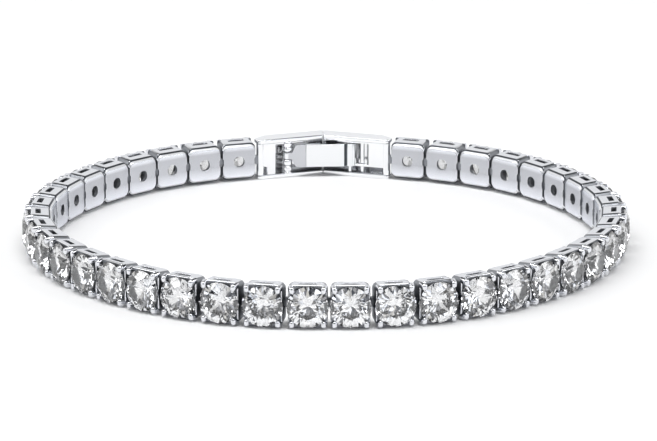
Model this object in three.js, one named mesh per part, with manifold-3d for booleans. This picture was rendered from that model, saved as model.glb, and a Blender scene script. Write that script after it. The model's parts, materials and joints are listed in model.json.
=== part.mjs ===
// A tennis bracelet that lies closed on its edge: forty hinged box settings, each
// with a round stone, and a fold-over clasp whose lever snaps onto a catch bar.
// Lengths are in millimetres, angles in degrees, and +Z points up.
//
// Each piece is modelled in a frame of its own: x runs along the chain, y points
// away from the wrist, and z runs across the band.
import * as THREE from "three";
import { mergeVertices } from "three/addons/utils/BufferGeometryUtils.js";
import Module from "manifold-3d";

const wasm = await Module();
wasm.setup();

// Stone: a round brilliant, cut down to its table and main facets.
const stone = { diameter: 3.9, table: 2.2, crownHeight: 0.6, pavilionHeight: 1.7, sides: 8 };

// Setting: an open box with a flat back towards the wrist. Depths are measured
// outwards from the hinge axis.
const setting = {
  pitch: 4.2,
  gap: 0.24,
  backDepth: 0.5,
  backBevel: 0.35,
  backHeight: 3.4,
  shoulderHeight: 4.1,
  rimDepth: 1.75,
  rimHeight: 4.55,
  cornerChamfer: 0.6,
  plateThickness: 0.45,
  wallThickness: 0.4,
  backHoleDiameter: 1.2,
  backHoleSides: 6,
};

// Claws: four corner posts on the rim. The stone's edge sits above the rim by the
// seat, and the claws rise over that edge and reach in over it by the hold.
const claws = { seat: 0.3, hold: 0.1, rise: 0.32 };
const windowSlot = { length: 1.8, height: 0.55, depth: 0.95 };

// Hinge between two settings: a knuckle on one turns on a pin across the other's notch.
const hinge = {
  pinDiameter: 0.36,
  clearance: 0.08,
  knuckleWall: 0.2,
  knuckleWidth: 1,
  pinInset: 0.2,
  pinSides: 4,
  knuckleSides: 6,
};

// Clasp: two channels that meet in a shallow roof, with a lever across them.
const clasp = {
  legLength: 7.5,
  legTilt: 19,
  railThickness: 0.5,
  depth: 1.75,
  faceDepth: 0.5,
  webThickness: 0.4,
  barDiameter: 0.86,
  barSides: 12,
  linkGap: 0.18,
  meetingGap: 0.16,
  endCut: 0.2,
  endRise: 0.8,
};
const claspPlate = { start: 0.62, thickness: 0.4 };
const leftWindow = { start: 2, end: 4.5 };
const rightWindow = { start: 2, end: 5.15, sill: 0.3 };
const lever = {
  pivotAt: 3.2,
  catchAt: 4.25,
  axisDepth: -0.08,
  rise: 0.2,
  height: 2.6,
  sideGap: 0.1,
  thickness: 0.38,
  neckHeight: 0.8,
  neckLength: 0.62,
  shoulderLength: 0.55,
  barrelDiameter: 0.98,
  barrelSides: 12,
  pinDiameter: 0.36,
  pinClearance: 0.05,
  knuckleGap: 0.06,
  pinSides: 8,
  catchDiameter: 0.44,
  catchClearance: 0.07,
  snapWall: 0.2,
  snapAngle: 170,
  snapSteps: 8,
};

// Cutting boxes and bars run past what they cut by this much.
const past = 1;


// The route: the bend at each hinge from the front middle round to the clasp, as
// shares of the mean bend. The mean follows from closing the loop.
const bendShares = [
  0.12, 1.19, 1.07, 1.19, 0.95, 0.83, 0.83, 0.95, 0.95, 0.95,
  1.07, 1.19, 1.07, 0.95, 0.83, 0.95, 1.07, 1.07, 0.95, 0.95,
];

// Materials.
const metalFinish = new THREE.MeshStandardMaterial({
  color: 0xd9dce1,
  roughness: 0.12,
  metalness: 1,
  flatShading: true,
});
const leverFinish = metalFinish.clone();
leverFinish.color.set(0xe6e8ec);

// Sizes that follow from the driving ones.
const radians = THREE.MathUtils.degToRad;
const linksPerSide = bendShares.length;
const knuckleRadius = hinge.pinDiameter / 2 + hinge.clearance + hinge.knuckleWall;
const bodyLength = setting.pitch - setting.gap;
const bodyStart = -setting.pitch / 2 - hinge.pinInset;
const bodyEnd = bodyStart + bodyLength;
const bodyMiddle = (bodyStart + bodyEnd) / 2;
const barRadius = clasp.barDiameter / 2;
const claspReach = barRadius + clasp.linkGap;
const standHeight = setting.rimHeight / 2;
const stoneFlat = (stone.diameter / 2) * Math.cos(Math.PI / stone.sides);
const clawSpace = Math.SQRT1_2 * (stoneFlat - claws.hold);
const clawTop = setting.rimDepth + claws.seat + claws.rise;

// Solids.
function toSolid(geometry) {
  const bare = geometry.clone();
  bare.deleteAttribute("normal");
  bare.deleteAttribute("uv");
  const merged = mergeVertices(bare, 1e-5);
  return new wasm.Manifold(
    new wasm.Mesh({
      numProp: 3,
      vertProperties: merged.attributes.position.array,
      triVerts: new Uint32Array(merged.index.array),
    }),
  );
}

function toGeometry(solid) {
  const mesh = solid.getMesh();
  const geometry = new THREE.BufferGeometry();
  geometry.setAttribute("position", new THREE.BufferAttribute(mesh.vertProperties, 3));
  geometry.setIndex(new THREE.BufferAttribute(mesh.triVerts, 1));
  const faceted = geometry.toNonIndexed();
  faceted.computeVertexNormals();
  return faceted;
}

function joined(...solids) {
  return solids.reduce((whole, piece) => whole.add(piece));
}

function box(x, y, z) {
  const geometry = new THREE.BoxGeometry(
    Math.abs(x[1] - x[0]),
    Math.abs(y[1] - y[0]),
    Math.abs(z[1] - z[0]),
  );
  geometry.translate((x[0] + x[1]) / 2, (y[0] + y[1]) / 2, (z[0] + z[1]) / 2);
  return toSolid(geometry);
}

// A round bar along z, between two heights, at a place in x and y.
function bar(at, radius, z, sides) {
  const geometry = new THREE.CylinderGeometry(radius, radius, z[1] - z[0], sides);
  geometry.rotateX(Math.PI / 2);
  geometry.translate(at[0], at[1], (z[0] + z[1]) / 2);
  return toSolid(geometry);
}

// An outline in x and y, extruded along z between two heights.
function slab(outline, z) {
  const shape = new THREE.Shape(outline.map(([x, y]) => new THREE.Vector2(x, y)));
  const geometry = new THREE.ExtrudeGeometry(shape, { depth: z[1] - z[0], bevelEnabled: false });
  geometry.translate(0, 0, z[0]);
  return toSolid(geometry);
}

// A closed skin through convex rings of equal count, each an array of Vector3.
function loft(rings) {
  const count = rings[0].length;
  const points = rings.flat();
  const index = [];
  for (let ring = 0; ring < rings.length - 1; ring++) {
    for (let i = 0; i < count; i++) {
      const a = ring * count + i;
      const b = ring * count + ((i + 1) % count);
      index.push(a, b, a + count, b, b + count, a + count);
    }
  }
  const last = (rings.length - 1) * count;
  for (let i = 1; i < count - 1; i++) {
    index.push(0, i + 1, i);
    index.push(last, last + i, last + i + 1);
  }
  const geometry = new THREE.BufferGeometry().setFromPoints(points);
  geometry.setIndex(index);
  const solid = toSolid(geometry);
  return solid.volume() > 0 ? solid : flipped(geometry);
}

function flipped(geometry) {
  const index = geometry.index.array;
  for (let i = 0; i < index.length; i += 3) {
    [index[i + 1], index[i + 2]] = [index[i + 2], index[i + 1]];
  }
  return toSolid(geometry);
}

// A rectangle with cut corners across y, at one depth, round the middle of the setting.
function cutRectangle(depth, halfLength, halfHeight, cut) {
  return [
    [halfLength, halfHeight - cut],
    [halfLength - cut, halfHeight],
    [cut - halfLength, halfHeight],
    [-halfLength, halfHeight - cut],
    [-halfLength, cut - halfHeight],
    [cut - halfLength, -halfHeight],
    [halfLength - cut, -halfHeight],
    [halfLength, cut - halfHeight],
  ].map(([x, z]) => new THREE.Vector3(bodyMiddle + x, depth, z));
}

// A circle across y, at one depth, with a flat side towards each neighbour.
function circle(depth, radius, sides) {
  return Array.from({ length: sides }, (_, i) => {
    const angle = ((i + 0.5) / sides) * Math.PI * 2;
    return new THREE.Vector3(
      bodyMiddle + radius * Math.cos(angle),
      depth,
      radius * Math.sin(angle),
    );
  });
}

// Stone, held clear of the rim by the claws.
function brilliant() {
  const radius = stone.diameter / 2;
  const half = Math.PI / stone.sides;
  const crown = new THREE.CylinderGeometry(
    stone.table / 2,
    radius,
    stone.crownHeight,
    stone.sides,
  );
  crown.translate(0, stone.crownHeight / 2, 0);
  const pavilion = new THREE.ConeGeometry(radius, stone.pavilionHeight, stone.sides);
  pavilion.rotateX(Math.PI);
  pavilion.translate(0, -stone.pavilionHeight / 2, 0);
  const girdleDepth = setting.rimDepth + claws.seat;
  const seated = [crown, pavilion].map((geometry) =>
    toSolid(geometry.rotateY(half).translate(bodyMiddle, girdleDepth, 0)),
  );
  return joined(...seated);
}

// The open box with its claws.
function settingBody() {
  const half = bodyLength / 2;
  const bevel = setting.backBevel;
  const cut = setting.cornerChamfer;
  const outside = loft([
    cutRectangle(-setting.backDepth, half - bevel, setting.backHeight / 2, cut),
    cutRectangle(bevel - setting.backDepth, half, setting.shoulderHeight / 2, cut),
    cutRectangle(clawTop, half, setting.rimHeight / 2, cut),
  ]);
  const floorDepth = setting.plateThickness - setting.backDepth;
  const wall = setting.wallThickness;
  const hollow = box(
    [bodyMiddle - half + wall, bodyMiddle + half - wall],
    [floorDepth, setting.rimDepth],
    [wall - setting.shoulderHeight / 2, setting.shoulderHeight / 2 - wall],
  );
  return outside.subtract(joined(hollow, backHole(), openings()));
}

// The round hole through the back plate, behind the stone's point.
function backHole() {
  const radius = setting.backHoleDiameter / 2;
  return loft([
    circle(-setting.backDepth - past, radius, setting.backHoleSides),
    circle(setting.rimDepth, radius, setting.backHoleSides),
  ]);
}

// A window in the upper and lower walls, and the spaces between the claws.
function openings() {
  const halfWindow = windowSlot.length / 2;
  const aboveRim = [setting.rimDepth, clawTop + past];
  const across = [-setting.rimHeight / 2 - past, setting.rimHeight / 2 + past];
  const slot = box(
    [bodyMiddle - halfWindow, bodyMiddle + halfWindow],
    [windowSlot.depth - windowSlot.height / 2, windowSlot.depth + windowSlot.height / 2],
    across,
  );
  const alongChain = box(
    [bodyStart - past, bodyEnd + past],
    aboveRim,
    [-clawSpace, clawSpace],
  );
  const acrossChain = box(
    [bodyMiddle - clawSpace, bodyMiddle + clawSpace],
    aboveRim,
    across,
  );
  return joined(slot, alongChain, acrossChain);
}

// The knuckle that reaches from a body's end to a hinge axis, with its pin hole.
function knuckle(axis, root) {
  const half = hinge.knuckleWidth / 2;
  const direction = Math.sign(axis - root);
  const buried = root - (direction * setting.wallThickness) / 2;
  const outline = [
    [buried, -knuckleRadius],
    [buried, knuckleRadius],
  ];
  for (let i = 0; i <= hinge.knuckleSides / 2; i++) {
    const angle = Math.PI * (0.5 - (2 * i) / hinge.knuckleSides);
    outline.push([
      axis + direction * knuckleRadius * Math.cos(angle),
      knuckleRadius * Math.sin(angle),
    ]);
  }
  const hole = hinge.pinDiameter / 2 + hinge.clearance;
  const bore = bar([axis, 0], hole, [-half - past, half + past], hinge.pinSides);
  return slab(outline, [-half, half]).subtract(bore);
}

// The notch that takes the neighbour's knuckle, and the pin across it.
function notchAndPin(body) {
  const half = hinge.knuckleWidth / 2 + hinge.clearance;
  const axis = -setting.pitch / 2;
  const reach = knuckleRadius + hinge.clearance;
  const notch = box(
    [bodyStart - past, axis + reach],
    [-setting.backDepth - past, reach],
    [-half, half],
  );
  const pinEnd = half + setting.wallThickness;
  const pin = bar([axis, 0], hinge.pinDiameter / 2, [-pinEnd, pinEnd], hinge.pinSides);
  return body.subtract(notch).add(pin);
}

// One setting with its stone. Reaches are the distances from its body to a hinge
// axis on the clasp, and are zero where it joins another setting.
function makeSetting(startReach, endReach) {
  let body = settingBody().add(brilliant());
  const endAxis = endReach ? bodyEnd + endReach : setting.pitch / 2;
  body = body.add(knuckle(endAxis, bodyEnd));
  return startReach ? body.add(knuckle(bodyStart - startReach, bodyStart)) : notchAndPin(body);
}

// Clasp. Both channels use one frame: x runs along the chain, and direction is +1
// where the channel starts at its bar and -1 where it ends at it.
const legTilt = radians(clasp.legTilt);
const halfHeight = setting.rimHeight / 2;
const innerHalf = halfHeight - clasp.railThickness;
const buriedHalf = innerHalf + clasp.railThickness / 2;

// The windows in the face plates clear the lever above and below.
const windowTop = lever.rise + lever.height / 2 + lever.sideGap;
const windowBottom = lever.rise - lever.height / 2 - lever.sideGap;

// The roof line where the two channels meet, at a depth.
function meeting(depth) {
  return clasp.legLength + depth * Math.tan(legTilt) - clasp.meetingGap / 2;
}

function channel(direction) {
  const along = (points) => points.map(([x, y]) => [direction * x, y]);
  const side = (z) =>
    slab(
      along([
        [clasp.endCut - barRadius, -clasp.faceDepth],
        [meeting(-clasp.faceDepth), -clasp.faceDepth],
        [meeting(clasp.depth), clasp.depth],
        [claspPlate.start + clasp.webThickness, clasp.depth],
        [-barRadius, clasp.endRise],
        [-barRadius, clasp.endCut - clasp.faceDepth],
      ]),
      z,
    );
  const webDepth = clasp.depth - clasp.webThickness;
  const web = slab(
    along([
      [claspPlate.start, webDepth],
      [meeting(webDepth), webDepth],
      [meeting(clasp.depth), clasp.depth],
      [claspPlate.start + clasp.webThickness, clasp.depth],
    ]),
    [-halfHeight, halfHeight],
  );
  return joined(
    side([innerHalf, halfHeight]),
    side([-halfHeight, -innerHalf]),
    web,
    endBar(),
  );
}

// The bar at a channel's end, with a waist that the end setting's knuckle turns on.
function endBar() {
  const waist = hinge.knuckleWidth / 2 + hinge.clearance;
  const buriedWaist = waist + barRadius / 2;
  const waistRadius = hinge.pinDiameter / 2;
  return joined(
    bar([0, 0], barRadius, [waist, buriedHalf], clasp.barSides),
    bar([0, 0], barRadius, [-buriedHalf, -waist], clasp.barSides),
    bar([0, 0], waistRadius, [-buriedWaist, buriedWaist], hinge.pinSides),
  );
}

function facePlate(direction, x, z) {
  return box(
    [direction * x[0], direction * x[1]],
    [-clasp.faceDepth, -clasp.faceDepth + claspPlate.thickness],
    z,
  );
}

// The left channel carries the lever's hinge in the window of its face plate.
function leftFrame() {
  const pivot = [lever.pivotAt, lever.axisDepth];
  const start = lever.neckHeight / 2 + lever.knuckleGap;
  const radius = lever.barrelDiameter / 2;
  const bore = lever.pinDiameter / 2 + lever.pinClearance;
  const face = joined(
    facePlate(1, [claspPlate.start, leftWindow.start], [-buriedHalf, buriedHalf]),
    facePlate(1, [leftWindow.start, leftWindow.end], [windowTop, buriedHalf]),
  );
  const knuckles = joined(
    bar(pivot, radius, [lever.rise + start, buriedHalf], lever.barrelSides),
    bar(pivot, radius, [-buriedHalf, lever.rise - start], lever.barrelSides),
  );
  return joined(channel(1), face, knuckles).subtract(
    bar(pivot, bore, [-innerHalf, innerHalf], lever.pinSides),
  );
}

// The right channel has a windowed face plate and the bar that the lever snaps onto.
function rightFrame() {
  const foot = windowBottom - rightWindow.sill;
  const face = joined(
    facePlate(-1, [claspPlate.start, rightWindow.start], [foot, buriedHalf]),
    facePlate(-1, [rightWindow.start, rightWindow.end], [windowTop, buriedHalf]),
    facePlate(-1, [rightWindow.start, rightWindow.end], [foot, windowBottom]),
  );
  const catchBar = bar(
    [-lever.catchAt, lever.axisDepth],
    lever.catchDiameter / 2,
    [foot + rightWindow.sill / 2, buriedHalf],
    lever.pinSides,
  );
  return joined(channel(-1), face, catchBar);
}

// The lever: a knuckle, a shouldered plate, and a half sleeve that snaps over the
// catch bar. Its x axis runs from the hinge pin to the catch bar.
function leverSolid(span) {
  const outer = lever.barrelDiameter / 2;
  const half = lever.height / 2;
  const neck = lever.neckHeight / 2;
  const sleeveInner = lever.catchDiameter / 2 + lever.catchClearance;
  const sleeveOuter = sleeveInner + lever.snapWall;
  const shoulder = lever.neckLength + lever.shoulderLength;
  const plateEnd = span - sleeveInner;
  const outline = [
    [0, neck],
    [0, -neck],
    [lever.neckLength, -neck],
    [shoulder, -half],
    [plateEnd, -half],
    [plateEnd, half],
    [shoulder, half],
    [lever.neckLength, neck],
  ];
  const shape = new THREE.Shape(outline.map(([x, z]) => new THREE.Vector2(x, z)));
  const plate = new THREE.ExtrudeGeometry(shape, { depth: lever.thickness, bevelEnabled: false });
  plate.rotateX(Math.PI / 2);
  plate.translate(0, lever.thickness - outer, 0);
  const eye = bar([0, 0], outer, [-neck, neck], lever.barrelSides);
  const bore = lever.pinDiameter / 2 + lever.pinClearance;
  const sleeve = bentStrip(span, sleeveInner, sleeveOuter, half);
  const cleared = joined(
    bar([span, 0], sleeveInner, [-half - past, half + past], lever.barrelSides),
    bar([0, 0], bore, [-half, half], lever.pinSides),
  );
  return joined(toSolid(plate), eye).subtract(cleared).add(sleeve);
}

// An arc of sheet round the catch bar, open on the side away from the wrist.
function bentStrip(at, inner, outer, half) {
  const sweep = radians(lever.snapAngle);
  const start = -Math.PI / 2 - sweep / 2;
  const arc = (radius, i) => {
    const angle = start + (sweep * i) / lever.snapSteps;
    return [at + radius * Math.cos(angle), radius * Math.sin(angle)];
  };
  const outline = [];
  for (let i = 0; i <= lever.snapSteps; i++) outline.push(arc(outer, i));
  for (let i = lever.snapSteps; i >= 0; i--) outline.push(arc(inner, i));
  return slab(outline, [-half, half]);
}

// Route. Walks one side of the loop from the front middle to the clasp.
const cumulative = bendShares.map((_, i) =>
  bendShares.slice(0, i + 1).reduce((sum, share) => sum + share, 0),
);

function walk(side, meanBend, lastLength) {
  const places = [];
  let point = new THREE.Vector2(0, 0);
  cumulative.forEach((bends, i) => {
    const heading = meanBend * bends;
    const length = i === linksPerSide - 1 ? lastLength : setting.pitch;
    const step = new THREE.Vector2(side * Math.cos(heading), Math.sin(heading));
    const next = point.clone().addScaledVector(step, length);
    places.push({ from: point, to: next });
    point = next;
  });
  return places;
}

const leftEndLength = bodyEnd + claspReach + setting.pitch / 2;
const rightEndLength = setting.pitch / 2 - bodyStart + claspReach;
const barSpan = 2 * clasp.legLength * Math.cos(legTilt);

// The mean bend that closes the loop on the clasp, found by halving a range of it.
function closedLoop() {
  const sides = (bend) => [walk(-1, bend, leftEndLength), walk(1, bend, rightEndLength)];
  const opening = (bend) => {
    const [left, right] = sides(bend);
    return right.at(-1).to.distanceTo(left.at(-1).to);
  };
  const total = cumulative.at(-1);
  const halvings = 60;
  let low = radians(90) / total;
  let high = radians(178) / total;
  for (let i = 0; i < halvings; i++) {
    const middle = (low + high) / 2;
    if (opening(middle) > barSpan) low = middle;
    else high = middle;
  }
  return sides((low + high) / 2);
}

// Assembly.
const [leftSide, rightSide] = closedLoop();
const bracelet = new THREE.Group();

function place(name, geometry, point, angle, finish) {
  const mesh = new THREE.Mesh(geometry, finish);
  mesh.name = name;
  mesh.position.set(point.x, point.y, standHeight);
  mesh.rotation.z = angle;
  bracelet.add(mesh);
  return mesh;
}

const settingGeometry = toGeometry(makeSetting(0, 0));
const firstGeometry = toGeometry(makeSetting(claspReach, 0));
const lastGeometry = toGeometry(makeSetting(0, claspReach));

// The chain runs from the clasp's right end round the front to its left end.
const chain = [
  ...[...rightSide].reverse().map(({ from, to }) => ({ from: to, to: from })),
  ...leftSide,
];
chain.forEach(({ from, to }, i) => {
  const direction = to.clone().sub(from).normalize();
  const first = i === 0;
  const last = i === chain.length - 1;
  const geometry = first ? firstGeometry : last ? lastGeometry : settingGeometry;
  const toMiddle = first ? -setting.pitch / 2 : setting.pitch / 2;
  const base = first ? to : from;
  const middle = base.clone().addScaledVector(direction, toMiddle);
  const name = `link_${String(i + 1).padStart(2, "0")}`;
  place(name, geometry, middle, direction.angle(), metalFinish);
});

const leftBar = leftSide.at(-1).to;
const rightBar = rightSide.at(-1).to;
const chordAngle = rightBar.clone().sub(leftBar).angle();
const leftAngle = chordAngle + legTilt;
const rightAngle = chordAngle - legTilt;
place("clasp_frame_left", toGeometry(leftFrame()), leftBar, leftAngle, metalFinish);
place("clasp_frame_right", toGeometry(rightFrame()), rightBar, rightAngle, metalFinish);

function turned(base, x, y, angle) {
  return new THREE.Vector2(x, y).rotateAround(new THREE.Vector2(0, 0), angle).add(base);
}

const pivot = turned(leftBar, lever.pivotAt, lever.axisDepth, leftAngle);
const catchPoint = turned(rightBar, -lever.catchAt, lever.axisDepth, rightAngle);
const leverLine = catchPoint.clone().sub(pivot);
const pinHalf = innerHalf - lever.knuckleGap;
const pinSolid = bar([0, 0], lever.pinDiameter / 2, [-pinHalf, pinHalf], lever.pinSides);
const leverMesh = place(
  "clasp_lever",
  toGeometry(leverSolid(leverLine.length())),
  pivot,
  leverLine.angle(),
  leverFinish,
);
leverMesh.position.z += lever.rise;
place("clasp_lever_pin", toGeometry(pinSolid), pivot, leftAngle, metalFinish);

// The origin is the middle of the footprint, on the surface that it lies on.
bracelet.updateMatrixWorld(true);
const extent = new THREE.Box3().setFromObject(bracelet, true);
const centre = extent.getCenter(new THREE.Vector3());
bracelet.position.set(-centre.x, -centre.y, -extent.min.z);

export default bracelet;
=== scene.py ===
# %% [markdown]
# # A tennis bracelet, dressed for its portrait
# A tennis bracelet is a row of small box settings, each with one round stone, hinged
# to each other and closed by a fold-over clasp. The solid model already has every
# setting and every half of the clasp in its true place. This lesson loads it as a
# fixed frame and builds the finer jewellery on top, in the same places, so nothing
# has to be fitted by eye.

# %% Load the solid bracelet
import json
import math

import bmesh
import bpy
from mathutils import Matrix, Vector


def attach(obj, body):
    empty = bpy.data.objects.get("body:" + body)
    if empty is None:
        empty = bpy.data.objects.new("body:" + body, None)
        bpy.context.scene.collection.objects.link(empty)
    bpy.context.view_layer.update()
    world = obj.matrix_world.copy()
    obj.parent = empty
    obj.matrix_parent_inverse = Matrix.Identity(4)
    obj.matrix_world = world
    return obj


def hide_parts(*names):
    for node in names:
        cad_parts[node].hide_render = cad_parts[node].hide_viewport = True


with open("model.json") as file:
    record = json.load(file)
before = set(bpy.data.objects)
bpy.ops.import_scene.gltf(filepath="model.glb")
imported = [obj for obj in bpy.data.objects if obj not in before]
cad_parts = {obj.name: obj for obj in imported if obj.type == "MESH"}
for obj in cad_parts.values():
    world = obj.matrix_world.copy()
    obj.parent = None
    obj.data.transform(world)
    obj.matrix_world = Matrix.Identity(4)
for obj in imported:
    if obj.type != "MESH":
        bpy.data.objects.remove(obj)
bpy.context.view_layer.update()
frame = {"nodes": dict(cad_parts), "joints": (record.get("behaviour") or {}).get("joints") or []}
mm = 0.001


# %% [markdown]
# ## Where each piece sits
# Each link has a frame of its own: x along the chain, y down the band's width and z
# away from the wrist. Its place could be typed in forty times, but the solid already
# knows it: the stone's flat table is the outermost face of a link. Its middle and its
# normal give the link's place and its turn. The clasp's halves are found in the same
# way, from the flat outer face of each channel.

# %% Read a place from the outermost face
faces_out = 0.9
stands_upright = 0.01
same_depth = 0.02 * mm
up = Vector((0, 0, 1))


def outermost_face(node):
    mesh = frame["nodes"][node].data
    middle = sum((f.center for f in mesh.polygons), Vector()) / len(mesh.polygons)
    outward = Vector((middle.x, middle.y, 0)).normalized()
    flat = [
        f for f in mesh.polygons
        if f.normal.dot(outward) > faces_out and abs(f.normal.z) < stands_upright
    ]
    first = max(flat, key=lambda f: f.center.dot(outward))
    normal = first.normal.copy()
    depth = first.center.dot(normal)
    face = [f for f in flat if abs(f.center.dot(normal) - depth) < same_depth]
    area = sum(f.area for f in face)
    centre = sum((f.center * f.area for f in face), Vector()) / area
    normal.z = 0
    return centre, normal.normalized()


def frame_at(origin, x_axis, y_axis, z_axis):
    turn = Matrix((x_axis, y_axis, z_axis)).transposed().to_4x4()
    return Matrix.Translation(origin) @ turn @ Matrix.Scale(mm, 4)


# %% Places of the forty links
table_depth = 2.65
body_middle = -0.32
link_names = sorted(n for n in frame["nodes"] if n.startswith("link_"))
link_places = {}
for name in link_names:
    centre, outward = outermost_face(name)
    along = outward.cross(up)
    origin = centre - along * (body_middle * mm) - outward * (table_depth * mm)
    link_places[name] = frame_at(origin, along, outward.cross(along), outward)
print(len(link_places), "links; the first sits at", link_places["link_01"].translation[:])

# %% [markdown]
# ## Soft edges
# Every piece is shaped in millimetres in its own frame. Its edges could be left as
# they come, but polished metal has no knife edges, and a soft edge is what catches the
# light. So each sharp edge gets a small bevel before the bmesh becomes a mesh.

# %% Soften edges and make a mesh
bevel_steps, round_steps = 3, 4
sharp_angle, weld = 25, 0.0005


def round_off(bm, edges, width, segments=round_steps, kind="EDGES"):
    bmesh.ops.bevel(
        bm, geom=edges, offset=width, offset_type="OFFSET", segments=segments,
        profile=0.5, affect=kind, material=-1, clamp_overlap=True,
    )


def soften(bm, width):
    edges = [
        e for e in bm.edges
        if len(e.link_faces) == 2 and e.calc_face_angle(0) > math.radians(sharp_angle)
    ]
    round_off(bm, edges, width, bevel_steps)


def as_mesh(bm, name, smooth=40):
    bmesh.ops.remove_doubles(bm, verts=bm.verts[:], dist=weld)
    bmesh.ops.recalc_face_normals(bm, faces=bm.faces[:])
    mesh = bpy.data.meshes.new(name)
    bm.to_mesh(mesh)
    bm.free()
    if smooth:
        mesh.shade_smooth()
        mesh.set_sharp_from_angle(angle=math.radians(smooth))
    return mesh


print("edges can be softened")

# %% [markdown]
# ## Blocks, rods and sheets
# A maker starts from bar, wire and sheet, and so does this lesson. A block is a cube
# scaled to its corners, a rod is a cylinder turned to its ends, and a sheet is a flat
# outline extruded to its thickness. The clasp needs nothing else, apart from one
# sleeve, and the settings need them for their tongues and pins.

# %% Make a block
def block(low, high, edge=0.0):
    bm = bmesh.new()
    low, high = Vector(low), Vector(high)
    bmesh.ops.create_cube(bm, size=1)
    bmesh.ops.scale(bm, verts=bm.verts[:], vec=high - low)
    bmesh.ops.translate(bm, verts=bm.verts[:], vec=(low + high) / 2)
    if edge:
        soften(bm, edge)
    return as_mesh(bm, "block")


print("blocks can be made")

# %% Make a rod
def rod(radius, start, end, edge=0.0, segments=32):
    bm = bmesh.new()
    start, end = Vector(start), Vector(end)
    bmesh.ops.create_cone(
        bm, cap_ends=True, segments=segments, radius1=radius, radius2=radius,
        depth=(end - start).length,
    )
    if edge:
        rims = [e for e in bm.edges if e.calc_face_angle(0) > math.radians(60)]
        round_off(bm, rims, edge)
    turn = up.rotation_difference(end - start).to_matrix()
    bmesh.ops.rotate(bm, verts=bm.verts[:], cent=(0, 0, 0), matrix=turn)
    bmesh.ops.translate(bm, verts=bm.verts[:], vec=(start + end) / 2)
    return as_mesh(bm, "rod")


def cross_rod(radius, x, y, low, high, edge=0.0, segments=24):
    return rod(radius, (x, y, low), (x, y, high), edge, segments)


print("rods can be made")

# %% Make a sheet
def sheet(outline, low, high, axis="Z", edge=0.06, corner=0.0):
    bm = bmesh.new()
    bm.faces.new([bm.verts.new((x, y, 0)) for x, y in outline])
    if corner:
        round_off(bm, bm.verts[:], corner, kind="VERTICES")
    grown = bmesh.ops.extrude_face_region(bm, geom=bm.faces[:])["geom"]
    lifted = [g for g in grown if isinstance(g, bmesh.types.BMVert)]
    bmesh.ops.translate(bm, verts=lifted, vec=(0, 0, high - low))
    bmesh.ops.translate(bm, verts=bm.verts[:], vec=(0, 0, low))
    if axis == "Y":
        for v in bm.verts:
            v.co = (v.co.x, v.co.z, v.co.y)
    bmesh.ops.recalc_face_normals(bm, faces=bm.faces[:])
    if edge:
        soften(bm, edge)
    return as_mesh(bm, "sheet")


print("sheets can be made")

# %% [markdown]
# ## Into place
# Parts of one piece are joined in one mesh. The piece could be placed by moving its
# object, but patterns read the mesh, so the mesh itself is moved and the object stays
# at the origin. Each piece is hung on the body it rides on, and the solids that it
# stands for are hidden. Metal pieces also take the shading of their large faces, which
# keeps flat walls flat between soft edges.

# %% Join, finish and place a piece
def joined(name, *meshes):
    bm = bmesh.new()
    for mesh in meshes:
        bm.from_mesh(mesh)
    whole = bpy.data.meshes.new(name)
    bm.to_mesh(whole)
    bm.free()
    return whole


def finish_all(mesh, number):
    for face in mesh.polygons:
        face.material_index = number
    return mesh


def add_piece(name, mesh, place, finishes, body, nodes, slot=None):
    mesh = mesh.copy()
    mesh.name = name
    mesh.transform(place)
    for finish in finishes:
        mesh.materials.append(finish)
    piece = bpy.data.objects.new(name, mesh)
    bpy.context.scene.collection.objects.link(piece)
    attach(piece, body)
    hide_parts(*nodes)
    if slot:
        even = piece.modifiers.new("even_shading", "WEIGHTED_NORMAL")
        even.keep_sharp = True
    return piece


print("pieces can be placed")

# %% [markdown]
# ## Silver
# The metal is rhodium-bright silver. A perfect mirror looks like a computer picture:
# real polish has a haze that changes from place to place and hair-fine marks from the
# buffing wheel. An image of scratches could be laid on, but two noises fit any shape.
# A broad one varies the roughness and the tone, and a fine stretched one gives the
# bump.

# %% Marks from the buffing wheel
mark_scale, mark_stretch = 2600, (1, 1, 9)
mark_depth = 0.02 * mm


def noise(nodes, links, vector, scale, detail=2):
    pattern = nodes.new("ShaderNodeTexNoise")
    pattern.inputs["Scale"].default_value = scale
    pattern.inputs["Detail"].default_value = detail
    links.new(vector, pattern.inputs["Vector"])
    return pattern


def buffing_marks(nodes, links, where, strength):
    stretch = nodes.new("ShaderNodeMapping")
    stretch.inputs["Scale"].default_value = mark_stretch
    links.new(where, stretch.inputs["Vector"])
    marks = noise(nodes, links, stretch.outputs["Vector"], mark_scale)
    bump = nodes.new("ShaderNodeBump")
    bump.inputs["Strength"].default_value = strength
    bump.inputs["Distance"].default_value = mark_depth
    links.new(marks.outputs["Fac"], bump.inputs["Height"])
    return bump.outputs["Normal"]


print("marks are", mark_depth / mm, "mm deep")

# %% Silver with a buffed surface
haze_scale = 420
least_rough, most_rough, darker = 0.6, 1.5, 0.965
mirror_tint = (0.85, 0.86, 0.88, 1)


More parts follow.
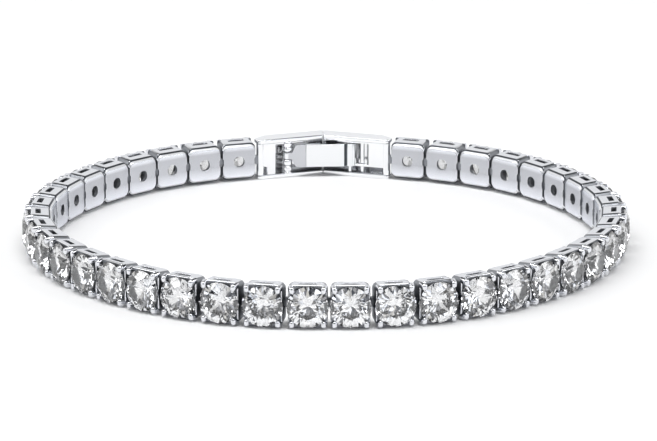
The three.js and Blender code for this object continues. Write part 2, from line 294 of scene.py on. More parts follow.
def silver(name, tint, rough, scratch=0.05):
    material = bpy.data.materials.new(name)
    material.use_nodes = True
    nodes, links = material.node_tree.nodes, material.node_tree.links
    shader = nodes["Principled BSDF"]
    shader.inputs["Metallic"].default_value = 1.0
    shader.inputs["Specular Tint"].default_value = mirror_tint
    where = nodes.new("ShaderNodeTexCoord").outputs["Object"]
    haze = noise(nodes, links, where, haze_scale, detail=3)
    spread = nodes.new("ShaderNodeMapRange")
    spread.inputs["To Min"].default_value = rough * least_rough
    spread.inputs["To Max"].default_value = rough * most_rough
    tone = nodes.new("ShaderNodeMixRGB")
    tone.name = "tone"
    tone.inputs["Color1"].default_value = (*[c * darker for c in tint], 1)
    tone.inputs["Color2"].default_value = (*tint, 1)
    links.new(haze.outputs["Fac"], spread.inputs["Value"])
    links.new(haze.outputs["Fac"], tone.inputs["Fac"])
    links.new(spread.outputs["Result"], shader.inputs["Roughness"])
    links.new(tone.outputs["Color"], shader.inputs["Base Color"])
    links.new(buffing_marks(nodes, links, where, scratch), shader.inputs["Normal"])
    return material


setting_silver = silver("setting_silver", tint=(0.81, 0.82, 0.845), rough=0.12)
clasp_silver = silver("clasp_silver", tint=(0.94, 0.945, 0.955), rough=0.12)
lever_silver = silver("lever_silver", tint=(0.90, 0.91, 0.92), rough=0.10)
print("bright silver:", setting_silver.name, clasp_silver.name, lever_silver.name)

# %% [markdown]
# ## The back plates' silver
# The small plates towards the wrist look greyer through the middle than at their two
# edges. One grey for the whole plate would look flat. Gloss alone could shade it, but
# not in a white tent, so a ramp over the height across the band darkens the tone. This
# is painted shade, and it stays the same from every side.

# %% Painted shade that changes across the band
band_height = 4.55
painted_shade_levels = ((0.12, 1.0), (0.42, 0.62), (0.76, 0.58), (0.86, 1.0))
cool = (1, 1.005, 1.04)


def color_stops(ramp, *stops):
    elements = ramp.color_ramp.elements
    while len(elements) < len(stops):
        elements.new(0.5)
    for element, (position, color) in zip(elements, stops):
        element.position, element.color = position, (*color, 1)


# Painted shade: a ramp over the height darkens the plates' tone through the middle.
def painted_shade_across(material, levels):
    nodes, links = material.node_tree.nodes, material.node_tree.links
    where = nodes.new("ShaderNodeTexCoord")
    height = nodes.new("ShaderNodeSeparateXYZ")
    level = nodes.new("ShaderNodeMapRange")
    level.inputs["From Max"].default_value = band_height * mm
    painted_grey = nodes.new("ShaderNodeValToRGB")
    color_stops(painted_grey, *[(position, [grey * c for c in cool]) for position, grey in levels])
    shade = nodes.new("ShaderNodeMixRGB")
    shade.blend_type = "MULTIPLY"
    shade.inputs["Fac"].default_value = 1.0
    links.new(where.outputs["Object"], height.inputs["Vector"])
    links.new(height.outputs["Z"], level.inputs["Value"])
    links.new(level.outputs["Result"], painted_grey.inputs["Fac"])
    links.new(nodes["tone"].outputs["Color"], shade.inputs["Color1"])
    links.new(painted_grey.outputs["Color"], shade.inputs["Color2"])
    links.new(shade.outputs["Color"], nodes["Principled BSDF"].inputs["Base Color"])


# The back plates get painted shade through the middle of the band.
plate_silver = silver("plate_silver", tint=(0.90, 0.91, 0.93), rough=0.2)
painted_shade_across(plate_silver, painted_shade_levels)
print("plate finish:", plate_silver.name)

# %% [markdown]
# ## Dull silver and painted shade
# Not every face of a casting is reached by the wheel. The inside of a box and the lever's
# neck are rougher, and their darker tones are painted shade. A near-black painted shade
# along chamfers and in folds gives bright jewellery its drawn lines. Each could have a
# node tree of its own, but they are one metal, so they are the same silver with another
# tone and another roughness.

# %% Finishes and painted shade for claws, edges and inner faces
claw_silver = silver("claw_silver", tint=(0.78, 0.79, 0.82), rough=0.05)
# Near-black painted shade for chamfers and folds.
painted_shade_edge_silver = silver("painted_shade_edge_silver", tint=(0.075, 0.08, 0.09), rough=0.42)
bright_edge_silver = silver("bright_edge_silver", tint=(0.80, 0.81, 0.83), rough=0.45)
# The lever neck's grey is painted shade; it is also a little rougher.
painted_grey_silver = silver("painted_grey_silver", tint=(0.62, 0.63, 0.66), rough=0.22)
# Rougher inner silver, darkened with painted shade.
rough_painted_shade_silver = silver("rough_painted_shade_silver", tint=(0.30, 0.31, 0.33), rough=0.4, scratch=0.3)
print("dull silver:", painted_shade_edge_silver.name, painted_grey_silver.name, rough_painted_shade_silver.name)

# %% [markdown]
# ## Cubic zirconia
# The stones are clear, with a refractive index of about 2.15, so light that enters
# through the crown is thrown back by the pavilion. A painted sparkle would stand still,
# so the stone is real glass to the renderer. Faint cloudy variation in the tint keeps
# forty equal stones from looking stamped out.

# %% Clear stone
refraction, cloud_scale = 2.15, 300


def clear_stone(name, cool_tint, warm_tint):
    material = bpy.data.materials.new(name)
    material.use_nodes = True
    nodes, links = material.node_tree.nodes, material.node_tree.links
    shader = nodes["Principled BSDF"]
    shader.inputs["Transmission Weight"].default_value = 1.0
    shader.inputs["IOR"].default_value = refraction
    shader.inputs["Roughness"].default_value = 0.0
    where = nodes.new("ShaderNodeTexCoord").outputs["Object"]
    cloud = noise(nodes, links, where, cloud_scale)
    tone = nodes.new("ShaderNodeMixRGB")
    tone.inputs["Color1"].default_value = (*cool_tint, 1)
    tone.inputs["Color2"].default_value = (*warm_tint, 1)
    links.new(cloud.outputs["Fac"], tone.inputs["Fac"])
    links.new(tone.outputs["Color"], shader.inputs["Base Color"])
    return material


zirconia = clear_stone("zirconia", (0.89, 0.90, 0.925), (0.96, 0.955, 0.945))
print("stone finish:", zirconia.name)

# %% [markdown]
# ## The round brilliant
# A cutter starts from a plain round blank and grinds one flat after another against a
# wheel. The mesh is made in the same way: a short cylinder is cut by one plane for
# each facet, what lies outside the plane is dropped, and the cut is closed with a flat
# face. The facets meet by themselves, as they do on the real stone.

# %% Grind one flat
def grind(bm, *points):
    a, b, c = (Vector(p) for p in points)
    normal = (b - a).cross(c - a).normalized()
    if normal.dot(a) < 0:
        normal.negate()
    cut = bmesh.ops.bisect_plane(
        bm, geom=bm.verts[:] + bm.edges[:] + bm.faces[:], dist=1e-5,
        plane_co=a, plane_no=normal, clear_outer=True,
    )["geom_cut"]
    rim = [e for e in cut if isinstance(e, bmesh.types.BMEdge) and e.is_boundary]
    if rim:
        bmesh.ops.edgeloop_fill(bm, edges=rim)


def at(azimuth, radius, height):
    turn = math.radians(azimuth)
    return (radius * math.cos(turn), radius * math.sin(turn), height)


print("a flat is ground through three points")

# %% [markdown]
# ## Its proportions
# The crown carries a table, eight stars, eight kites and sixteen upper halves, and the
# pavilion eight mains and sixteen lower halves. The angles could be typed in for each
# kind of facet. It is easier to name where the facets meet, since a flat through three
# such points has the right angle by itself.

# %% Where the facets meet
girdle_radius = 2.1
girdle_half = 0.05
girdle_sides = 48
table_radius = 1.15
crown_height = 0.6
pavilion_height = 1.77
star_reach = 0.5
lower_reach = 0.23
mains = 8
main_turn = 360 / mains
half_turn = main_turn / 2
across_flats = math.cos(math.radians(half_turn))

kite_slope = (crown_height - girdle_half) / (girdle_radius - table_radius)
flat_radius = table_radius * across_flats
star_radius = flat_radius + star_reach * (girdle_radius - flat_radius)
star_height = crown_height - kite_slope * (star_radius * across_flats - table_radius)
main_slope = (pavilion_height - girdle_half) / girdle_radius
lower_radius = girdle_radius * lower_reach
lower_height = -pavilion_height + main_slope * lower_radius * across_flats
print("stars end", round(star_radius, 2), "mm out, lower halves", round(lower_radius, 2))

# %% Cut the stone
girdle_depth = 2.05


def make_stone():
    bm = bmesh.new()
    bmesh.ops.create_cone(
        bm, cap_ends=True, segments=girdle_sides, radius1=girdle_radius,
        radius2=girdle_radius, depth=2 * pavilion_height + 1,
    )
    grind(bm, *[at(turn, 1, crown_height) for turn in (0, 120, 240)])
    for k in range(mains):
        here = main_turn * k
        side, after = here + half_turn, here + main_turn
        star_tip = at(side, star_radius, star_height)
        lower_tip = at(side, lower_radius, lower_height)
        table_corner = at(here, table_radius, crown_height)
        grind(bm, table_corner, at(here, girdle_radius, girdle_half), star_tip)
        grind(bm, table_corner, at(after, table_radius, crown_height), star_tip)
        grind(bm, at(here, girdle_radius, -girdle_half), lower_tip, at(here, 0, -pavilion_height))
        for end in (here, after):
            grind(bm, star_tip, at(side, girdle_radius, girdle_half),
                  at(end, girdle_radius, girdle_half))
            grind(bm, lower_tip, at(side, girdle_radius, -girdle_half),
                  at(end, girdle_radius, -girdle_half))
    bmesh.ops.translate(bm, verts=bm.verts[:], vec=(body_middle, 0, girdle_depth))
    return as_mesh(bm, "stone", smooth=0)


stone_mesh = make_stone()
print("one stone:", len(stone_mesh.polygons), "facets")

# %% [markdown]
# ## The box setting's plate
# Seen from the wrist a setting is a small flat plate with rounded corners and a nick
# in each end for its neighbour's hinge. A casting like this could be cut from a block,
# but it is easier to grow it from one rounded rectangle. The first ring of edges is
# that rectangle. It gets a few extra points, where the windows and the nicks will be.

# %% Draw the first ring
half_length = 1.98
plate_half = (1.9, 1.7)
plate_depth = -0.5
plate_corner = 0.65
window_half = 0.9
nick_half, nick_shoulder, nick_deep = 0.3, 0.14, 0.13
same = 0.01


def first_ring(bm):
    corners = bmesh.ops.create_grid(bm, x_segments=1, y_segments=1, size=1)["verts"]
    bmesh.ops.scale(bm, verts=corners, vec=(*plate_half, 1))
    bmesh.ops.translate(bm, verts=corners, vec=(0, 0, plate_depth))
    round_off(bm, corners, plate_corner, 6, kind="VERTICES")
    bmesh.ops.delete(bm, geom=bm.faces[:], context="FACES_ONLY")
    long_edges = [e for e in bm.edges if e.calc_length() > 1]
    bmesh.ops.subdivide_edges(bm, edges=long_edges, cuts=4)
    for v in bm.verts:
        # Of the four points put in each side, two lie near its middle and two farther out.
        if abs(v.co.y) > plate_half[1] - same and abs(v.co.x) < 1.2:
            outer = abs(v.co.x) > 0.5
            v.co.x = math.copysign(window_half if outer else window_half / 2, v.co.x)
        if abs(v.co.x) > plate_half[0] - same and abs(v.co.y) < 1.0:
            near = abs(v.co.y) < 0.4
            v.co.y = math.copysign(nick_half if near else nick_half + nick_shoulder, v.co.y)
            v.co.x -= math.copysign(nick_deep if near else 0, v.co.x)
    return bm.edges[:]


print("first ring", 2 * plate_half[0], "x", 2 * plate_half[1], "mm")

# %% [markdown]
# ## The box setting's walls
# From the plate a pale edge and a dark chamfer lead to the sides, which lean out to the
# rim. Inside, the walls go down again to a floor, with a round hole that lets light
# into the stone. Each ring of edges is extruded from the last and moved to the next
# section: up the outside, over the rim, down the inside and through the hole. So the
# whole casting is one closed skin.

# %% Grow one ring from the last
crease_half, crease_depth = (1.94, 1.89), -0.31
chamfer_depth = -0.15
shoulder_half = 2.05
lean_out, lean_depth = 0.225, 2.52
rim_depth, floor_depth = 1.75, -0.05
wall = 0.4


def outer_half(depth):
    return shoulder_half + lean_out * (depth - chamfer_depth) / lean_depth


def new_ring(grown):
    verts = [g for g in grown if isinstance(g, bmesh.types.BMVert)]
    edges = [g for g in grown if isinstance(g, bmesh.types.BMEdge)]
    return verts, [e for e in edges if e.verts[0] in verts and e.verts[1] in verts]


def next_ring(bm, edges, half_x, half_y, depth):
    verts, rim = new_ring(bmesh.ops.extrude_edge_only(bm, edges=edges)["geom"])
    reach = (max(abs(v.co.x) for v in verts), max(abs(v.co.y) for v in verts))
    for v in verts:
        if abs(v.co.x) > window_half + same:
            v.co.x = math.copysign(half_x - (reach[0] - abs(v.co.x)), v.co.x)
        if abs(v.co.y) > nick_half + 0.2:
            v.co.y = math.copysign(half_y - (reach[1] - abs(v.co.y)), v.co.y)
        v.co.z = depth
    return rim


print("walls lean out", round(outer_half(rim_depth) - shoulder_half, 2), "mm up to the rim")

# %% Grow the shell
window_low, window_high = 0.68, 1.23
hole_radius = 0.62
rim_edge = 0.16


def through_hole(bm, ring, first):
    hole, hole_edges = new_ring(bmesh.ops.extrude_edge_only(bm, edges=ring)["geom"])
    for v in hole:
        v.co.xy = v.co.xy.normalized() * hole_radius
    hole, hole_edges = new_ring(bmesh.ops.extrude_edge_only(bm, edges=hole_edges)["geom"])
    for v in hole:
        v.co.z = plate_depth
    bmesh.ops.bridge_loops(bm, edges=first + hole_edges)
    bmesh.ops.recalc_face_normals(bm, faces=bm.faces[:])


def on_outer_rim(edge):
    # Such an edge lies at the rim's depth, is sharp, and keeps far from the middle.
    half = (half_length, outer_half(rim_depth))
    return (
        all(abs(v.co.z - rim_depth) < 0.001 for v in edge.verts)
        and edge.calc_face_angle(0) > 1.2
        and all(max(abs(v.co.x) / half[0], abs(v.co.y) / half[1]) > 0.85 for v in edge.verts)
    )


def setting_shell():
    bm = bmesh.new()
    first = first_ring(bm)
    ring = next_ring(bm, first, *crease_half, crease_depth)
    for depth in (chamfer_depth, window_low, window_high, rim_depth):
        ring = next_ring(bm, ring, half_length, outer_half(depth), depth)
    for depth in (rim_depth, window_high, window_low, floor_depth):
        ring = next_ring(bm, ring, half_length - wall, outer_half(depth) - wall, depth)
    through_hole(bm, ring, first)
    round_off(bm, [e for e in bm.edges if on_outer_rim(e)], rim_edge)
    return bm


print("the shell is", rim_depth - plate_depth, "mm deep")

# %% [markdown]
# ## Windows in the walls
# A rectangular window in the upper and the lower wall saves metal and lets light reach
# the stone's edge. It could be cut with a boolean, which leaves untidy edges. The rings
# already have edges round each window, so its panes are deleted on both sides of the
# wall, and the gap between the two skins is bridged.

# %% Open the windows
inside_walls = 1.5


def open_windows(bm):
    panes = []
    for face in bm.faces:
        spot = face.calc_center_median()
        in_window = abs(spot.x) < window_half and window_low < spot.z < window_high
        if in_window and abs(spot.y) > inside_walls:
            panes.append(face)
    bmesh.ops.delete(bm, geom=panes, context="FACES")
    for side in (-1, 1):
        rim = [e for e in bm.edges if e.is_boundary and e.verts[0].co.y * side > 0]
        bmesh.ops.bridge_loops(bm, edges=rim)


trial = setting_shell()
open_windows(trial)
print("shell with windows:", len(trial.faces), "faces")
trial.free()

# %% [markdown]
# ## Finishes on one casting
# The wheel reaches the outer walls and the plate. The inside, the rim's flat top and
# the end walls between two neighbours stay rough, and are darkened with painted shade.
# The edge next to the plate is pale, and the chamfer outside it is dark with painted
# shade. One casting could be split into pieces by finish, but it is one piece of metal,
# so each face gets the number of its finish.

# %% Choose a finish for each face
setting_finishes = {
    "walls": setting_silver, "plate": plate_silver, "rough_painted_shade": rough_painted_shade_silver,
    "claws": claw_silver, "chamfer": painted_shade_edge_silver, "plate_edge": bright_edge_silver,
}
number_of = list(setting_finishes).index


def kind_of(face):
    # Here z points away from the wrist, so a plate's normal is -z and a rim's is +z.
    spot, normal = face.calc_center_median(), face.normal
    inner = (half_length - wall, outer_half(spot.z) - wall)
    past_inner = max(abs(spot.x) - inner[0], abs(spot.y) - inner[1])
    if normal.z < -0.97 and spot.z < plate_depth + 0.05:
        return "plate"
    # Inner walls, the rim's top and end walls: rough, darkened with painted shade.
    if past_inner < same and spot.z > plate_depth + 0.02:
        return "rough_painted_shade"
    if normal.z > 0.9 and spot.z > rim_depth - 0.05:
        return "rough_painted_shade"
    if abs(normal.x) > 0.45 and abs(normal.z) < 0.5:
        return "rough_painted_shade"
    # The chamfer's outer half gets near-black painted shade.
    if -0.9 < normal.z < -0.6 and abs(normal.y) > 0.4:
        return "plate_edge" if spot.z < crease_depth else "chamfer"
    return "walls"


def give_finishes(bm):
    for face in bm.faces:
        face.material_index = number_of(kind_of(face))


print(len(setting_finishes), "finishes on a setting")

# %% [markdown]
# ## Claws
# Four small round prongs hold the stone. They rise from the corners of the rim and
# lean in over the stone's edge. A bent wire could be swept, but at this size a prong
# is a short post with a domed top: a block whose top is shifted inwards, with its
# upright edges and its top well rounded. One is made and mirrored to the other three.

# %% Make four claws
claw_low, claw_high = (1.42, 1.5, 1.5), (1.98, 2.2, 2.38)
claw_lean = (-0.14, -0.12, 0)
claw_round, tip_round = 0.24, 0.23


def claws():
    bm = bmesh.new()
    bmesh.ops.create_cube(bm, size=1)
    low, high = Vector(claw_low), Vector(claw_high)
    bmesh.ops.scale(bm, verts=bm.verts[:], vec=high - low)
    bmesh.ops.translate(bm, verts=bm.verts[:], vec=(low + high) / 2)
    tips = [v for v in bm.verts if v.co.z > (low.z + high.z) / 2]
    bmesh.ops.translate(bm, verts=tips, vec=claw_lean)
    upright = [e for e in bm.edges if abs(e.verts[0].co.z - e.verts[1].co.z) > 0.5]
    round_off(bm, upright, claw_round)
    top = [e for e in bm.edges if min(v.co.z for v in e.verts) > high.z - 0.01]
    round_off(bm, top, tip_round)
    for axis in ("X", "Y"):
        whole = bm.verts[:] + bm.edges[:] + bm.faces[:]
        bmesh.ops.mirror(bm, geom=whole, matrix=Matrix(), merge_dist=-1, axis=axis)
    return finish_all(as_mesh(bm, "claws"), number_of("claws"))


print("claws reach", claw_high[2], "mm out from the hinge line")

# %% [markdown]
# ## Hinges between settings
# Each box has a tongue with a round knuckle, which reaches into its neighbour's nick
# and turns on a pin there. The tongues could be grown out of the casting too, but they
# are separate bars and rods in the mesh, as the maker solders them on. The first and
# the last setting reach to the clasp's end bars instead.

# %% Make the settings
half_pitch = 2.1
tongue_root = 1.3
tongue_half_width, tongue_half_thick = 0.5, 0.25
knuckle_radius = 0.3
pin_radius, pin_half = 0.16, 0.98
wall_edge, tongue_edge = 0.09, 0.05


def tongue(start, end, knuckle):
    low, high = min(start, end), max(start, end)
    arm = [block(
        (low, -tongue_half_width, -tongue_half_thick),
        (high, tongue_half_width, tongue_half_thick), tongue_edge,
    )]
    if knuckle:
        barrel = ((end, -tongue_half_width, 0), (end, tongue_half_width, 0))
        arm.append(rod(knuckle_radius, *barrel, tongue_edge, 24))
    # Tongue and knuckle sit in the gap between settings and take the rough finish darkened with
    # painted shade.
    return [finish_all(mesh, number_of("rough_painted_shade")) for mesh in arm]


def make_setting(tongues, pin_at=None):
    bm = setting_shell()
    open_windows(bm)
    soften(bm, wall_edge)
    give_finishes(bm)
    parts = [as_mesh(bm, "shell"), claws()]
    for mesh in parts:
        mesh.transform(Matrix.Translation((body_middle, 0, 0)))
    for start, end, knuckle in tongues:
        parts += tongue(start, end, knuckle)
    if pin_at is not None:
        parts.append(rod(pin_radius, (pin_at, -pin_half, 0), (pin_at, pin_half, 0), 0, 16))
    return joined("setting", *parts)


next_tongue = (tongue_root, half_pitch, True)
plain_setting = make_setting([next_tongue], pin_at=-half_pitch)
first_setting = make_setting([next_tongue, (-1.95, -2.85, False)])
last_setting = make_setting([(tongue_root, 2.2, False)], pin_at=-half_pitch)
print("one setting:", len(plain_setting.polygons), "faces")

# %% [markdown]
# ## Forty stones in forty boxes
# Every box takes the place of its solid link, and its stone sits in the same frame.
# Stone and box are two pieces, because glass and metal are finished apart, and both
# stand for the same solid.

# %% Set forty stones
for name in link_names:
    number = name[-2:]
    mesh = {"01": first_setting, "40": last_setting}.get(number, plain_setting)
    add_piece("setting_" + number, mesh, link_places[name], setting_finishes.values(),
              "bracelet", [name], "polished_silver")
    add_piece("stone_" + number, stone_mesh, link_places[name], [zirconia], "bracelet", [name])
print("settings and stones:", 2 * len(link_names))

# %% [markdown]
# ## The clasp's two channels
# Each half of the clasp is a channel folded from sheet: a web on the outside, a rail
# along each edge, and a bar across its end for the last setting's knuckle. The halves
# meet in a shallow roof. The channels are built in one frame, x along the chain, y
# away from the wrist and z across the band, and the right one is the left one turned
# about. Their places are read from the solids' outer faces.

# %% Places of the two channels
web_middle, web_depth = 4.5213, 1.75


def channel_place(node, direction):
    centre, outward = outermost_face(node)
    along = outward.cross(up)
    origin = centre - along * (direction * web_middle * mm) - outward * (web_depth * mm)
    return frame_at(origin, along, outward, up)


left_place = channel_place("clasp_frame_left", 1)
right_place = channel_place("clasp_frame_right", -1)
print("channels at", left_place.translation[:], right_place.translation[:])

# %% Rails and webs
half_band = band_height / 2
rail_thick, rail_edge = 0.5, 0.12
inner_half = half_band - rail_thick
wrist_side = -0.5
leg_length, meeting_gap = 7.5, 0.02
roof_slope = math.tan(math.radians(19))
end_bar_radius, bar_half = 0.43, 1.9
clasp_finishes = [clasp_silver, rough_painted_shade_silver]


def meeting(depth):
    return leg_length + depth * roof_slope - meeting_gap


def flipped(direction, outline):
    return [(direction * x, y) for x, y in outline]


def make_rail(side, low, high):
    rail = sheet(side, low, high, edge=rail_edge)
    for face in rail.polygons:
        inner_edge = abs(face.center.z) < inner_half + rail_edge + same
        bevelled = -0.95 < face.normal.y < -0.2
        # The rails' inner bevels are darkened with painted shade.
        if inner_edge and bevelled:
            face.material_index = clasp_finishes.index(rough_painted_shade_silver)
    return rail


def channel(direction):
    side = flipped(direction, [
        (-0.2, wrist_side), (meeting(wrist_side), wrist_side),
        (meeting(web_depth), web_depth), (1.02, web_depth), (-0.43, 0.8), (-0.43, -0.25),
    ])
    web_in, web_out = 1.35, 1.73
    web = flipped(direction, [
        (0.62, web_in), (meeting(web_in), web_in), (meeting(web_out), web_out), (1.0, web_out),
    ])
    return [
        make_rail(side, inner_half, half_band),
        make_rail(side, -half_band, -inner_half),
        sheet(web, -half_band + 0.05, half_band - 0.05),
        rod(end_bar_radius, (0, 0, -bar_half), (0, 0, bar_half)),
    ]


print("each channel is", leg_length, "mm long")

# %% [markdown]
# ## Face plates, knuckles and bars
# Towards the wrist each channel is partly closed by a plate with an opening for the
# lever. On the left, five rounded knuckles stand in a row on the lever's pin. On the
# right, a catch bar and a second, thicker bar cross the opening, and a small tab stands
# at the roof. The plates are cut as flat outlines, because a bent sheet has one
# thickness all over. The rails' inner edges are darkened with painted shade.

# %% The left channel
face_depth = (-0.38, -0.04)
window_top, plate_top = 1.6, 1.85
hinge_x, lever_depth = 3.2, -0.08
eye_radius, eye_edge = 0.57, 0.2
eye_heights = ((0.66, 1.2), (1.16, 1.9), (-0.95, -0.26), (-1.6, -0.98), (-1.95, -1.58))


def left_channel():
    notch_x, post_x = 0.75, 1.7
    plate = [
        (0.22, -0.8), (notch_x, -0.95), (notch_x, -plate_top), (post_x, -plate_top),
        (post_x, window_top), (7.1, window_top), (7.1, plate_top), (0.22, plate_top),
    ]
    eyes = [
        cross_rod(eye_radius, hinge_x, lever_depth, low, high, eye_edge, 32)
        for low, high in eye_heights
    ]
    return joined("left_channel", *channel(1), sheet(plate, *face_depth, axis="Y"), *eyes)


print(len(eye_heights), "knuckles on the left")

# %% The right channel
catch_x, catch_radius = -4.25, 0.22
second_x, second_depth, second_radius = -2.85, 0.1, 0.25
plate_corner_round = 0.12


def right_channel():
    foot, window_bottom = -1.05, -0.78
    near_x, far_x = -2, -3.6
    plate = [
        (-0.22, foot), (-0.22, plate_top), (-5.75, plate_top), (-5.75, window_top),
        (near_x, window_top), (near_x, window_bottom), (far_x, window_bottom), (far_x, foot),
    ]
    tab_low = window_top - 0.04
    tab = [(-7.4, tab_low), (-7.0, tab_low), (-7.0, plate_top), (-7.4, plate_top)]
    return joined(
        "right_channel", *channel(-1),
        sheet(plate, *face_depth, axis="Y", corner=plate_corner_round),
        sheet(tab, *face_depth, axis="Y"),
        cross_rod(catch_radius, catch_x, lever_depth, -bar_half, bar_half),
        cross_rod(second_radius, second_x, second_depth, -bar_half, bar_half),
    )


for node, mesh, place in (
    ("clasp_frame_left", left_channel(), left_place),
    ("clasp_frame_right", right_channel(), right_place),
):
    add_piece(node.replace("clasp_", "") + "_sheet", mesh, place, clasp_finishes,
              "bracelet", [node], "polished_silver")
print("clasp channels made")

# %% [markdown]
# ## The lever
# The lever turns on a pin in the left channel and snaps over a bar in the right one.
# Its place could be measured by hand, but two facts of the solid fix it: the hinge's
# point, and the catch bar that it reaches for. It rides on its own body, so it opens
# with the hinge.

# %% Place the lever between pin and bar
hinge_point = Vector(frame["joints"][0]["pos_m"])
catch_point = right_place @ Vector((catch_x, lever_depth, 0))
lever_reach = (catch_point - hinge_point).xy
span = lever_reach.length / mm
lever_place = (
    Matrix.Translation(hinge_point)
    @ Matrix.Rotation(math.atan2(lever_reach.y, lever_reach.x), 4, "Z")
    @ Matrix.Scale(mm, 4)
)
print("lever", round(span, 3), "mm from pin to bar")

# %% [markdown]
# ## The lever's strip
# It is one strip of sheet: a narrow, slightly rougher neck greyed with painted shade, with
# an eye for the pin, shoulders and a flat polished plate, which ends in a half sleeve bent
# round the bar. The sleeve is spun from its end section, because bending a finished sheet
# would thin it. A block with near-black painted shade marks the fold where plate and
# sleeve meet. A rolled lip under the sleeve is for the fingernail, and a flange along the
# upper edge stiffens the plate.

# %% Neck and plate
lever_half, bend_at = 1.3, 2.1
neck_depth, flat_depth = (-0.49, -0.11), (-0.51, -0.11)
sleeve_in, sleeve_out = 0.29, 0.49
plate_end = span - sleeve_out - 0.2
lever_finishes = [lever_silver, painted_grey_silver, painted_shade_edge_silver]
# Painted shade on the lever: grey for the neck, near-black for the fold.
painted_grey, dark = lever_finishes.index(painted_grey_silver), lever_finishes.index(painted_shade_edge_silver)


def mirrored(outline):
    return outline + [(x, -y) for x, y in reversed(outline)]


def neck_and_plate():
    shoulder = mirrored([
        (0.1, -0.4), (0.5, -0.4), (0.66, -0.75), (0.85, -1.15), (1.05, -lever_half),
        (bend_at, -lever_half),
    ])
    neck = finish_all(sheet(shoulder, *neck_depth, axis="Y", edge=0.05), painted_grey)
    flat = mirrored([(bend_at, -lever_half), (plate_end, -lever_half)])
    return joined("plate", neck, sheet(flat, *flat_depth, axis="Y"))


print("lever plate ends", round(plate_end, 2), "mm from the pin")

# %% Sleeve, fold, lip and flange
sleeve_start, sleeve_turn = -175, 170
lip_radius, lip_past, lip_depth, lip_half = 0.17, 0.36, -0.34, 1.28
lever_eye, lever_eye_half = 0.49, 0.4
lever_pin_radius, lever_pin_top = 0.18, 1.7


def sleeve():
    bm = bmesh.new()
    turn = math.radians(sleeve_start)
    end_section = [
        bm.verts.new((span + r * math.cos(turn), r * math.sin(turn), z))
        for r, z in (
            (sleeve_in, -lever_half), (sleeve_out, -lever_half),
            (sleeve_out, lever_half), (sleeve_in, lever_half),
        )
    ]
    bmesh.ops.spin(
        bm, geom=[bm.faces.new(end_section)], cent=(span, 0, 0), axis=(0, 0, 1),
        angle=math.radians(sleeve_turn), steps=16, use_duplicate=False,
    )
    return as_mesh(bm, "sleeve")


def make_lever():
    eye = cross_rod(lever_eye, 0, 0, -lever_eye_half, lever_eye_half, 0.1, 32)
    # The fold is a thin block darkened with near-black painted shade.
    fold = block((plate_end - 0.2, -0.3, -1.24), (span - 0.3, -0.12, 1.24), 0.03)
    lip = cross_rod(lip_radius, span + lip_past, lip_depth, -lip_half, lip_half, 0.05)
    flange = block((bend_at + 0.3, -0.3, 1.08), (plate_end, 1.35, 1.29), 0.05)
    return joined(
        "lever", neck_and_plate(), eye, sleeve(), finish_all(fold, dark), lip, flange,
    )


add_piece("lever_strip", make_lever(), lever_place, lever_finishes, "lever",
          ["clasp_lever"], "lever_silver")
pin = cross_rod(lever_pin_radius, 0, 0, -bar_half, lever_pin_top)
add_piece("lever_pin", pin, lever_place, [clasp_silver], "bracelet", ["clasp_lever_pin"],
          "polished_silver")
print("lever and pin in place")

# %% [markdown]
# ## White paper
# Bright jewellery is photographed on a large sheet of white paper. Metal that faces the
# viewer mirrors it, so its white is as much a light as a floor. It could be curved up
# behind the bracelet, but the world behind it is white too, and a flat sheet is enough.

# %% Lay the floor
floor_mesh = bmesh.new()
bmesh.ops.create_grid(floor_mesh, x_segments=1, y_segments=1, size=6)
floor = bpy.data.objects.new("floor", as_mesh(floor_mesh, "floor"))
bpy.context.scene.collection.objects.link(floor)
floor_finish = bpy.data.materials.new("white_paper")
floor_finish.use_nodes = True
paper = floor_finish.node_tree.nodes["Principled BSDF"]
paper.inputs["Base Color"].default_value = (0.96, 0.96, 0.96, 1)
paper.inputs["Roughness"].default_value = 0.6
floor.data.materials.append(floor_finish)
print("floor laid")

# %% [markdown]
# ## The tent
# Jewellery stands in a white tent: everything that it mirrors is white, and a few dark
# cards give its edges a line. Real panels could be built, but they would show in the
# stones as objects. Here the tent is the world's own light, mixed from a few fields
# over the direction of view: white cloth low down and behind, which darkens overhead.

# %% Mix the world's light
world = bpy.data.worlds.new("tent")
bpy.context.scene.world = world
world.use_nodes = True
tent, wires = world.node_tree.nodes, world.node_tree.links
heading = tent.new("ShaderNodeTexCoord")
split = tent.new("ShaderNodeSeparateXYZ")
wires.new(heading.outputs["Generated"], split.inputs["Vector"])


def fade(source, start, full):
    ramp = tent.new("ShaderNodeMapRange")
    ramp.interpolation_type = "SMOOTHSTEP"
    ramp.inputs["From Min"].default_value = start
    ramp.inputs["From Max"].default_value = full
    wires.new(source, ramp.inputs["Value"])
    return ramp.outputs["Result"]


def mixed(factor, first, second):
    mix = tent.new("ShaderNodeMixRGB")
    for socket, value in zip(mix.inputs, (factor, first, second)):
        if isinstance(value, tuple):
            socket.default_value = value
        else:
            wires.new(value, socket)
    return mix.outputs["Color"]


cloth = tent.new("ShaderNodeValToRGB")
color_stops(cloth, (0.5, (1, 1, 1)), (0.93, (0.05, 0.055, 0.06)))
wires.new(split.outputs["Z"], cloth.inputs["Fac"])
print("tent cloth hung")

# %% [markdown]
# ## Cards, the open top and the lens
# On the camera's side the stones need something to break up: lamps, gaps and dark cards,
# here a soft noise with dark and bright stops. High up the tent is dark, which draws a
# line along chamfers that face it. Straight above there is a small grey skylight, so
# that the upper walls don't turn black or white when seen from above. The lens is a dark
# disc, which gives the stones their dark arrows.

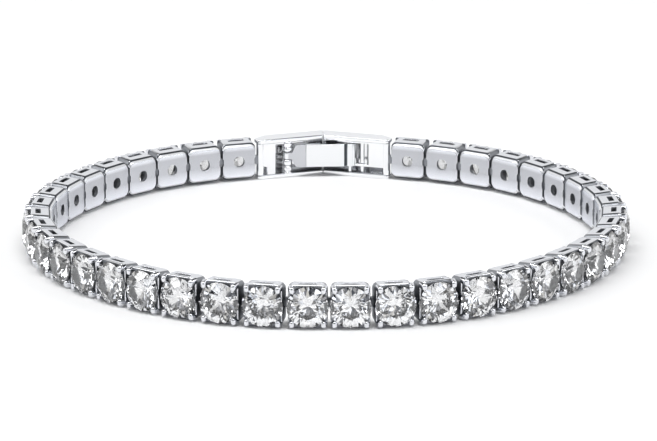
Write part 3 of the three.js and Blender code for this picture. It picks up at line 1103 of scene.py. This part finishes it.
# %% Hang the cards
clutter = noise(tent, wires, heading.outputs["Generated"], 3.2)
clutter.inputs["Roughness"].default_value = 0.6
cards = tent.new("ShaderNodeValToRGB")
color_stops(
    cards, (0.40, (0.01, 0.012, 0.016)), (0.47, (0.12, 0.13, 0.15)),
    (0.52, (0.42, 0.42, 0.44)), (0.57, (0.85, 0.83, 0.78)), (0.64, (1.9, 2.0, 2.2)),
)
wires.new(clutter.outputs["Fac"], cards.inputs["Fac"])
front = fade(split.outputs["Y"], 0.2, -0.2)
room = mixed(front, cloth.outputs["Color"], cards.outputs["Color"])
print("cards hung")

# %% Open the top and set the lens
camera_spot = Vector((0.00004, -0.450, 0.12637))
dark_top, grey_sky, black_lens = (
    (0.03, 0.032, 0.036, 1), (0.42, 0.43, 0.45, 1), (0.02, 0.02, 0.022, 1),
)
room = mixed(fade(split.outputs["Z"], 0.6, 0.82), room, dark_top)
room = mixed(fade(split.outputs["Z"], 0.972, 0.988), room, grey_sky)
toward = tent.new("ShaderNodeVectorMath")
toward.operation = "DOT_PRODUCT"
toward.inputs[1].default_value = camera_spot.normalized()
wires.new(heading.outputs["Generated"], toward.inputs[0])
lens_rim, lens_full = (math.cos(math.radians(angle)) for angle in (13, 8))
lens = fade(toward.outputs["Value"], lens_rim, lens_full)
wires.new(mixed(lens, room, black_lens), tent["Background"].inputs["Color"])
print("tent closed")

# %% [markdown]
# ## Softboxes
# The tent lights everything evenly. One long softbox, high up and a little in front,
# gives the stones their sparkle and the band its shadow. It stays off the point
# straight above, because the upper walls would mirror it there. Two small ones light
# the band's ends.

# %% Place the lights
def softbox(name, place, target, size, watts):
    lamp = bpy.data.lights.new(name, "AREA")
    lamp.shape = "RECTANGLE"
    lamp.size, lamp.size_y = size
    lamp.energy = watts
    obj = bpy.data.objects.new(name, lamp)
    bpy.context.scene.collection.objects.link(obj)
    obj.location = place
    obj.rotation_euler = (Vector(target) - Vector(place)).to_track_quat("-Z", "Y").to_euler()


softbox("high_softbox", (-0.05, -0.12, 0.62), (0, 0.03, 0), (0.7, 0.15), 3.1)
softbox("left_softbox", (-0.45, -0.10, 0.35), (0, 0, 0), (0.2, 0.2), 0.6)
softbox("right_softbox", (0.45, -0.10, 0.35), (0, 0, 0), (0.2, 0.2), 0.5)
print("three softboxes")

# %% [markdown]
# ## Camera
# The reference view looks down on the band by about fifteen degrees from nearly half a
# metre, through a long lens, so the far side is only a little smaller than the near
# one. Its focal length was measured in pixels, which a lens of this sensor width turns
# into millimetres. The standard view keeps white paper white.

# %% Set up the camera
frame_width = 657
focal_pixels, image_middle = 4391.8, 326.4
look_down = 15.37
camera_data = bpy.data.cameras.new("camera")
camera_data.sensor_width = 36
camera_data.lens = focal_pixels * 36 / frame_width
camera_data.shift_x = (frame_width / 2 - image_middle) / frame_width
camera_data.clip_start = 0.01
camera = bpy.data.objects.new("camera", camera_data)
bpy.context.scene.collection.objects.link(camera)
camera.location = camera_spot
camera.rotation_euler = (math.radians(90 - look_down), 0, 0)
bpy.context.scene.camera = camera
bpy.context.scene.view_settings.view_transform = "Standard"
print("camera lens", round(camera_data.lens, 1), "mm")
